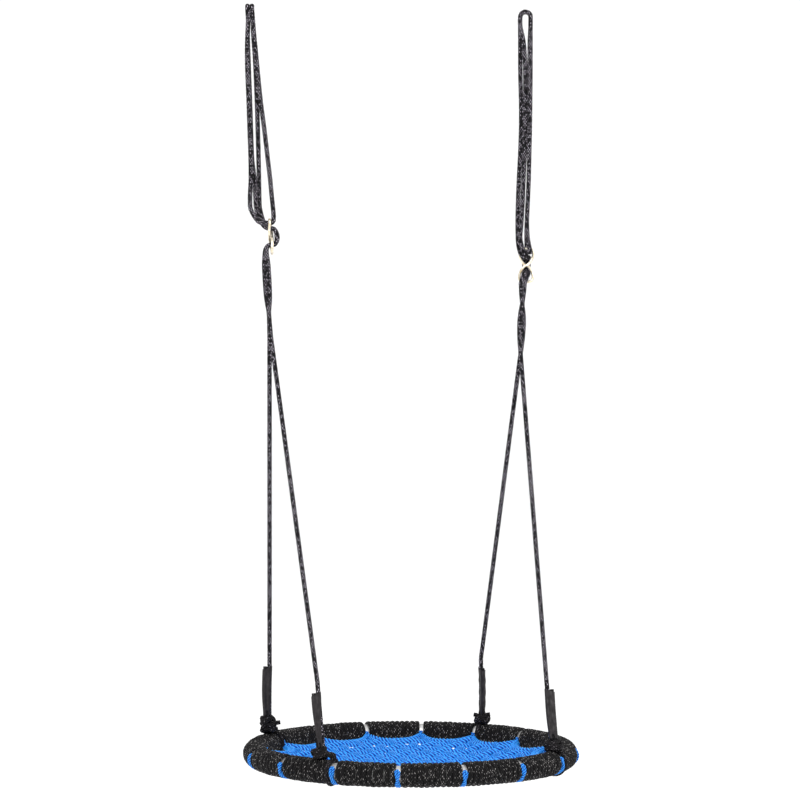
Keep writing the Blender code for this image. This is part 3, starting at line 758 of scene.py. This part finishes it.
WRAP_DEEP = 2.9 * MM              # half the thickness of the rope, pressed flat against the tube
WRAP_INSET = 4.0 * MM             # from a wrapping's end to its first turn's centre line
TURN_WIDTH = 9.2 * MM             # room each turn takes along the hoop
WRAP_SAMPLE = 1.7 * MM            # from point to point along the rope
STEP_START = math.radians(-18)    # where on the tube a turn begins to move over
SLIP = 0.35 * MM                  # scatter of the turns along the hoop
BURY = 0.3 * MM                   # scatter of the turns towards the tube and away from it
LEAN = 0.9 * MM                   # how far a turn leans along the hoop as it goes round the tube
END_TUCK = 0.7 * MM               # how far a wrapping's two ends sink in
WRAP_LINE_R = WRAP_R - WRAP_DEEP
STEP_ARC = 0.40                   # share of each turn, under the hoop, in which the rope moves over by one
random = np.random.default_rng(7)


def wrap_span(index):
    """Start and end angle of one wrapping, which stops short of the lashings and the hangers' ties."""
    spacing = TAU / GAPS
    start = index * spacing + GAP_HALF / HOOP_R
    end = (index + 1) * spacing - GAP_HALF / HOOP_R
    for corner, degrees in CORNERS.items():
        lashing = math.radians(degrees) % TAU
        tie = corner_angle(corner) % TAU
        if abs(index * spacing - lashing) < 0.01 and tie > lashing:
            start += TIE_OFFSET / HOOP_R
        if abs((index + 1) * spacing - lashing) < 0.01 and tie < lashing:
            end -= TIE_OFFSET / HOOP_R
    return start, end


def add_wrap(index):
    """One length of rope wound close round the tube: turns side by side, each crossing over underneath."""
    start, end = wrap_span(index)
    start, end = start + WRAP_INSET / HOOP_R, end - WRAP_INSET / HOOP_R
    count = round((end - start) * HOOP_R / TURN_WIDTH) + 1
    pitch = (end - start) / (count - 1)
    samples = int(count * TAU * WRAP_LINE_R / WRAP_SAMPLE)
    turn = np.linspace(0, count + STEP_ARC, samples)
    whole = np.floor(turn)
    shift = np.clip((turn - whole) / STEP_ARC, 0, 1)
    phi = STEP_START - TAU * turn
    place = np.clip(whole - 1 + shift * shift * (3 - 2 * shift), 0, count - 1)
    slip = np.interp(turn, np.arange(count + 1), random.normal(0, SLIP, count + 1))
    lean = LEAN * np.cos(phi - 0.4)
    angle = start + pitch * place + (slip + lean) / HOOP_R
    ends = np.exp(-turn * 2.2) + np.exp(-(count + STEP_ARC - turn) * 2.2)
    bury = np.interp(turn, np.arange(count + 1), random.normal(0, BURY, count + 1))
    deep = WRAP_LINE_R + bury - END_TUCK * ends
    local = seat_line(angle, deep, phi)
    run = np.concatenate([[0], np.cumsum(np.linalg.norm(np.diff(local, axis=0), axis=1))])
    out = seat_line(angle, deep + 0.01, phi) - local
    out /= np.linalg.norm(out, axis=1)[:, None]
    ahead = np.gradient(local, axis=0)
    ahead /= np.linalg.norm(ahead, axis=1)[:, None]
    side = np.cross(ahead, out)
    m3 = np.array(SEAT)[:3, :3].T
    wide = pitch * HOOP_R / 2 * 1.05
    mesh = braided(f"wrap_{index + 1:02d}", to_world(local), run, WRAP_ROPE, radius=wide, sides=20,
                   cell=WRAP_CELL, flat=WRAP_DEEP / wide, basis=(out @ m3, side @ m3), phase=0.37 * index)
    obj = link(f"wound_rope_{index + 1:02d}", mesh)
    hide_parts(f"rope_wrap_{index + 1:02d}")
    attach(obj, "seat")


for wrap_index in range(GAPS):
    add_wrap(wrap_index)


# ------------------------------------------------------------------ net lashings

TIE_ROPE_R = 2.55 * MM


def add_lashing(index):
    """A bight of blue rope: two legs crossing under the tube, spread over its outside and joined above."""
    middle = index * TAU / GAPS
    top = math.radians(21 + random.uniform(-6, 6))
    turn = 2.1 + random.uniform(-0.25, 0.25)
    flip = 1 if index % 2 else -1
    lean = random.uniform(-0.5, 0.5) * MM
    line_r = TUBE_R + TIE_ROPE_R + 0.25 * MM
    proud = 1.1 * MM
    down = np.linspace(0.0, top + math.radians(196), 26)
    spread = 2.5 * MM * np.cos(turn * down)
    cross = 1.7 * MM * np.sin(turn * down)
    front = np.exp(-((top - down + 0.1) / 0.8) ** 2)
    legs = [seat_line(middle + (side * spread + lean * down) / HOOP_R,
                      line_r + (proud + side * flip * cross) * front, top - down) for side in (-1, 1)]
    bend = seat_line(np.array([middle]), np.array([line_r]), np.array([top + math.radians(8)]))
    line, lengths = resample(np.vstack([legs[0][::-1], bend, legs[1]]), 0.8 * MM)
    name = f"lashing_{index + 1:02d}"
    obj = link(name, laid(name, to_world(line), lengths, TIE_ROPE, TIE_ROPE_R * 1.06, TIE_PITCH))
    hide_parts(f"net_lashing_{index + 1:02d}")
    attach(obj, "seat")


for lashing_index in range(GAPS):
    add_lashing(lashing_index)


# ------------------------------------------------------------------ net

NET_ROPE_R = 4.8 * MM
NET_LINES = 15
NET_SPACING = 33.5 * MM
NET_OUT = 0.2625                  # where the ropes reach the tube, at the gaps
NET_FLAT_R = 0.232                # beyond this the net lies level
NET_SAG = 0.011
NET_Z = -9.0 * MM
NET_DRAWN_IN = 31 * MM            # depth of the outline's curve between two gaps
NET_SCATTER = 1.2 * MM            # of the ropes and of the points along them, sideways
NET_STEP = 1.5 * MM               # from point to point along a rope
EDGE_GAP = 3 * MM                 # from a rope's end to the outline
SHORTEST = 16 * MM                # a rope that would be shorter is left out


def net_edge(angle):
    """The woven part's outline: out to the tube at each gap and drawn in between them."""
    return NET_OUT - NET_DRAWN_IN * np.abs(np.sin(angle * GAPS / 2)) ** 0.6


def net_height(x, y):
    return NET_Z - NET_SAG * (1 - np.clip((x * x + y * y) / NET_FLAT_R ** 2, 0, 1))


def weave_lift(x, k, m, across):
    """How far a rope stands above or below the net's middle at a crossing."""
    lift = (2.2 + 1.4 * min(1.0, max(0.0, (abs(x) - 0.10) / 0.08))) * MM
    return lift if (k + m + across) % 2 else -lift


def add_net_family(name, across):
    """Parallel ropes one way, woven over and under the other way's, each ending at the net's edge rope."""
    meshes = []
    half = (NET_LINES - 1) / 2
    for k in range(NET_LINES):
        off = (k - half) * NET_SPACING + random.normal(0, NET_SCATTER)
        run = np.linspace(-NET_OUT, NET_OUT, 700)
        angle = np.arctan2(run, -off) if across else np.arctan2(off, -run)
        inside = np.hypot(run, off) < net_edge(angle) - EDGE_GAP
        edges = np.flatnonzero(np.diff(np.concatenate([[0], inside.astype(int), [0]])))
        for first, last in zip(edges[::2], edges[1::2] - 1):
            a, b = run[first], run[last]
            if b - a < SHORTEST:
                continue
            stops = [(m - half) * NET_SPACING for m in range(NET_LINES)]
            points = [(a, off, net_height(a, off))]
            for m, c in enumerate(stops):
                if a + 8 * MM < c < b - 8 * MM:
                    lift = weave_lift(c if across else off, k, m, across)
                    points.append((c, off + random.normal(0, NET_SCATTER), net_height(c, off) + lift))
            points.append((b, off, net_height(b, off)))
            if not across:
                points = [(y, x, z) for x, y, z in points]
            line, lengths = resample(points, NET_STEP)
            meshes.append(laid(f"{name}_{len(meshes)}", to_world(line), lengths + 0.013 * k, NET_ROPE,
                               NET_ROPE_R, NET_PITCH))
    return meshes


def add_net_edge():
    """Two ropes from each gap to the next, which part from each other on the way and meet again there."""
    meshes = []
    for k in range(GAPS):
        for lane in (0, 1):
            t = np.linspace(0, 1, 15)
            angle = (k + t) * TAU / GAPS
            away = np.sin(np.pi * t)
            reach = net_edge(angle) - lane * 8.2 * MM * away ** 0.5
            angle = angle + (3.0 - lane * 1.0) * MM / NET_OUT * np.cos(np.pi * t)
            z = net_height(0, reach) + 5.0 * MM * (1 - away) ** 2 + (lane * 2.0 - 1.5) * MM * (1 - away)
            points = np.stack([reach * np.sin(angle), -reach * np.cos(angle), z], -1)
            line, lengths = resample(points, NET_STEP)
            meshes.append(laid(f"net_edge_{k}_{lane}", to_world(line), lengths + 0.017 * k, NET_ROPE,
                               NET_ROPE_R, NET_PITCH))
    return meshes


def add_net():
    across, fore_aft = add_net_family("across", True), add_net_family("fore_aft", False)
    for name, meshes in (("net_ropes_across", across), ("net_ropes_fore_aft", fore_aft),
                         ("net_edge_ropes", add_net_edge())):
        obj = joined(name, meshes)
        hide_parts("seat_net")
        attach(obj, "seat")


add_net()


# ------------------------------------------------------------------ knots and sleeves

def add_knot(corner):
    """A tied knot standing on the wrapping: its tie round the hoop, crossing turns and a cut tail."""
    foot, _ = corner_frame(corner)
    along, wide = leg_axes(corner)
    foot, along, wide = (np.array(v) for v in (foot, along, wide))
    right = np.array((math.cos(math.radians(-18)), math.sin(math.radians(-18)), 0))
    back = np.array((-right[1], right[0], 0))
    up = np.array((0, 0, 1.0))
    angle = corner_angle(corner)
    phi = np.linspace(math.radians(84), math.radians(84 - 348), 34)
    tie = seat_line(angle + 0.004 * np.sin(phi), TIE_R + 0 * phi, phi)
    tall = KNOT_TOP[corner] - 22 * MM
    centre = foot + up * (22 * MM + tall / 2 - KNOT_TOP[corner])
    over = np.array((tie[0][0], tie[0][1], NECK_Z))
    t = np.linspace(0, TAU, 44, endpoint=False)
    size = 4.3 * MM
    lift = max(1.0, (tall - 2 * ROPE_R) / 2 / (1.15 * size))
    first = TAU * {"front_left": 0.05, "front_right": 0.3, "rear_left": 0.6, "rear_right": 0.85}[corner]
    x = np.sin(t) + 2 * np.sin(2 * t)
    y = np.cos(t) - 2 * np.cos(2 * t)
    x, y = x * math.cos(first) - y * math.sin(first), x * math.sin(first) + y * math.cos(first)
    turned = (centre + x[:, None] * right * size + y[:, None] * back * size
              - (np.sin(3 * t) * size * lift)[:, None] * up)
    ring = TAU * np.arange(16) / 16
    pieces = [(tie, False, ROPE_R), (turned, True, ROPE_R * 1.05)]
    broad = 1.6 if corner == "front_right" else 1.15
    collars = ((0.30, 0.9, 7.0 * MM), (-0.05, 4.4, 8.4 * MM * broad), (-0.34, 2.9, 8.0 * MM * broad))
    for height, tilt, reach in collars:
        pieces.append((centre + up * tall * height + np.cos(ring)[:, None] * right * reach
                       + np.sin(ring)[:, None] * back * reach + (np.sin(ring + tilt) * 3 * MM)[:, None] * up,
                       True, ROPE_R * 1.05))
    for side in (-1, 1):
        neck = np.array([tie[0 if side > 0 else -1], over + right * side * 3 * MM,
                         centre + right * side * 4 * MM])
        pieces.append((neck, False, ROPE_R))
    tails = {"front_left": [(-1, 0.1)], "front_right": [(-1, -0.1)], "rear_left": [(1, 0.05), (1, -0.3)],
             "rear_right": [(-1, 0.45), (1, 0.5)]}[corner]
    for side, height in tails:
        shorter = 0.82 if height == -0.3 else 1
        reach = {"rear_left": 24.0, "rear_right": 15.5}.get(corner, 17.0) * MM * shorter
        root = centre + up * tall * height
        pieces.append((np.array([centre, root + right * side * reach * 0.6,
                                 root + right * side * reach + up * 1.5 * MM]), False, ROPE_R * 0.95))
    pieces.append((np.array([centre, foot + along * 2 * MM, foot + along * 9 * MM]), False, ROPE_R * 1.35))
    end_foot = foot - along * 3 * MM - wide * LAID
    pieces.append((np.array([end_foot, end_foot + along * SLEEVE_L[corner] * 0.5,
                             end_foot + along * (SLEEVE_L[corner] + 6.5 * MM)]), False, ROPE_R * 0.93))
    meshes = []
    for i, (points, closed, radius) in enumerate(pieces):
        line, lengths = resample(points, 1.2 * MM, closed=closed)
        meshes.append(braided(f"knot_{corner}_{i}", to_world(line), lengths, KNOT_ROPE, radius=radius,
                              sides=20, closed=closed))
    obj = joined(f"tied_knot_{corner}", meshes)
    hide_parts(f"knot_{corner}")
    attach(obj, "seat")


# how far each sleeve is drawn in at its foot, and over what share of its length
TAPER = {"front_left": (0.48, 0.55), "front_right": (0.10, 0.3), "rear_left": (0.15, 0.25),
         "rear_right": (0.2, 0.3)}


def add_sleeve(corner):
    """A shrunk tube over the leg and its turned-back end, drawn in below, the rope's lay showing through."""
    foot, _ = corner_frame(corner)
    along, wide = (np.array(v) for v in leg_axes(corner))
    deep = np.cross(along, wide)
    length = SLEEVE_L[corner]
    low = np.array(foot) + along * 1.5 * MM
    rows, sides = 90, 48
    t = np.linspace(0, 1, rows)
    angle = TAU * np.arange(sides) / sides
    rings = []
    for share in t:
        pinch = 1 - TAPER[corner][0] * math.exp(-(share / TAPER[corner][1]) ** 2)
        bow = 1.0 * MM * math.sin(math.pi * share) * (1 if corner == "rear_right" else -1)
        swell = 1 + 0.015 * math.sin(share * 43 + 1)
        half_w = (LAID + ROPE_R + 0.9 * MM) * pinch
        half_d = (ROPE_R + 1.0 * MM) * swell * (1 + 0.1 * (1 - pinch))
        x = np.cos(angle) * half_w
        fold = np.clip(1 - (np.abs(x) - LAID * pinch) ** 2 / (half_w - LAID * pinch) ** 2, 0, 1) ** 0.5
        waist = 1 - 0.16 * (1 - np.abs(x) / (LAID * pinch))
        y = np.sign(np.sin(angle)) * np.where(np.abs(x) < LAID * pinch, waist, fold) * half_d
        ropes = 0.35 * MM * np.sin(angle * 2 + share * length / (3.4 * MM)) * (np.abs(np.sin(angle)) > 0.2)
        tilt = 3.4 * MM * np.cos(angle) * max(0.0, share - 0.93) / 0.07
        rings.append(low + along * share * length + x[:, None] * wide
                     + (y + np.sign(np.sin(angle)) * ropes)[:, None] * deep + tilt[:, None] * along
                     + np.array((bow, 0, 0)))
    inner = [r + (low + along * s * length - r) * 0.16 for r, s in zip(rings[::-1], t[::-1])]
    rings = np.array(rings + inner)
    lengths = np.concatenate([t, t[::-1] + 1.0]) * length
    mesh = skin(f"sleeve_tube_{corner}", to_world(rings), SLEEVE, lengths, closed=True)
    mesh.set_sharp_from_angle(angle=math.radians(60))
    obj = link(f"sleeve_tube_{corner}", mesh)
    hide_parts(f"sleeve_{corner}")
    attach(obj, "seat")


for corner_name in CORNERS:
    add_knot(corner_name)
    add_sleeve(corner_name)


# ------------------------------------------------------------------ studio

def add_floor():
    mesh = bpy.data.meshes.new("studio_floor")
    size, level = 30.0, -1.80
    mesh.from_pydata([(-size, -size, level), (size, -size, level), (size, size, level), (-size, size, level)],
                     [], [(0, 1, 2, 3)])
    s = Shader("studio_floor")
    mesh.materials.append(s.set(Base_Color=(0.96, 0.96, 0.96), Roughness=0.9, Specular_IOR_Level=0.1))
    link("studio_floor", mesh)


def add_light(name, place, target, size, power):
    data = bpy.data.lights.new(name, "AREA")
    data.shape = "DISK"
    data.size = size
    data.energy = power
    light = bpy.data.objects.new(name, data)
    bpy.context.scene.collection.objects.link(light)
    light.location = place
    light.rotation_euler = (Vector(target) - Vector(place)).to_track_quat("-Z", "Y").to_euler()


def add_world():
    world = bpy.data.worlds.new("studio")
    world.use_nodes = True
    back = world.node_tree.nodes["Background"]
    back.inputs[0].default_value = (1.0, 1.0, 1.0, 1.0)
    back.inputs[1].default_value = 1.06
    bpy.context.scene.world = world


add_floor()
add_world()
add_light("key", (-2.2, -3.2, 2.2), (0, 0, -1.0), 1.6, 160)
add_light("fill", (3.0, -2.0, 0.8), (0, 0, -1.0), 2.0, 60)
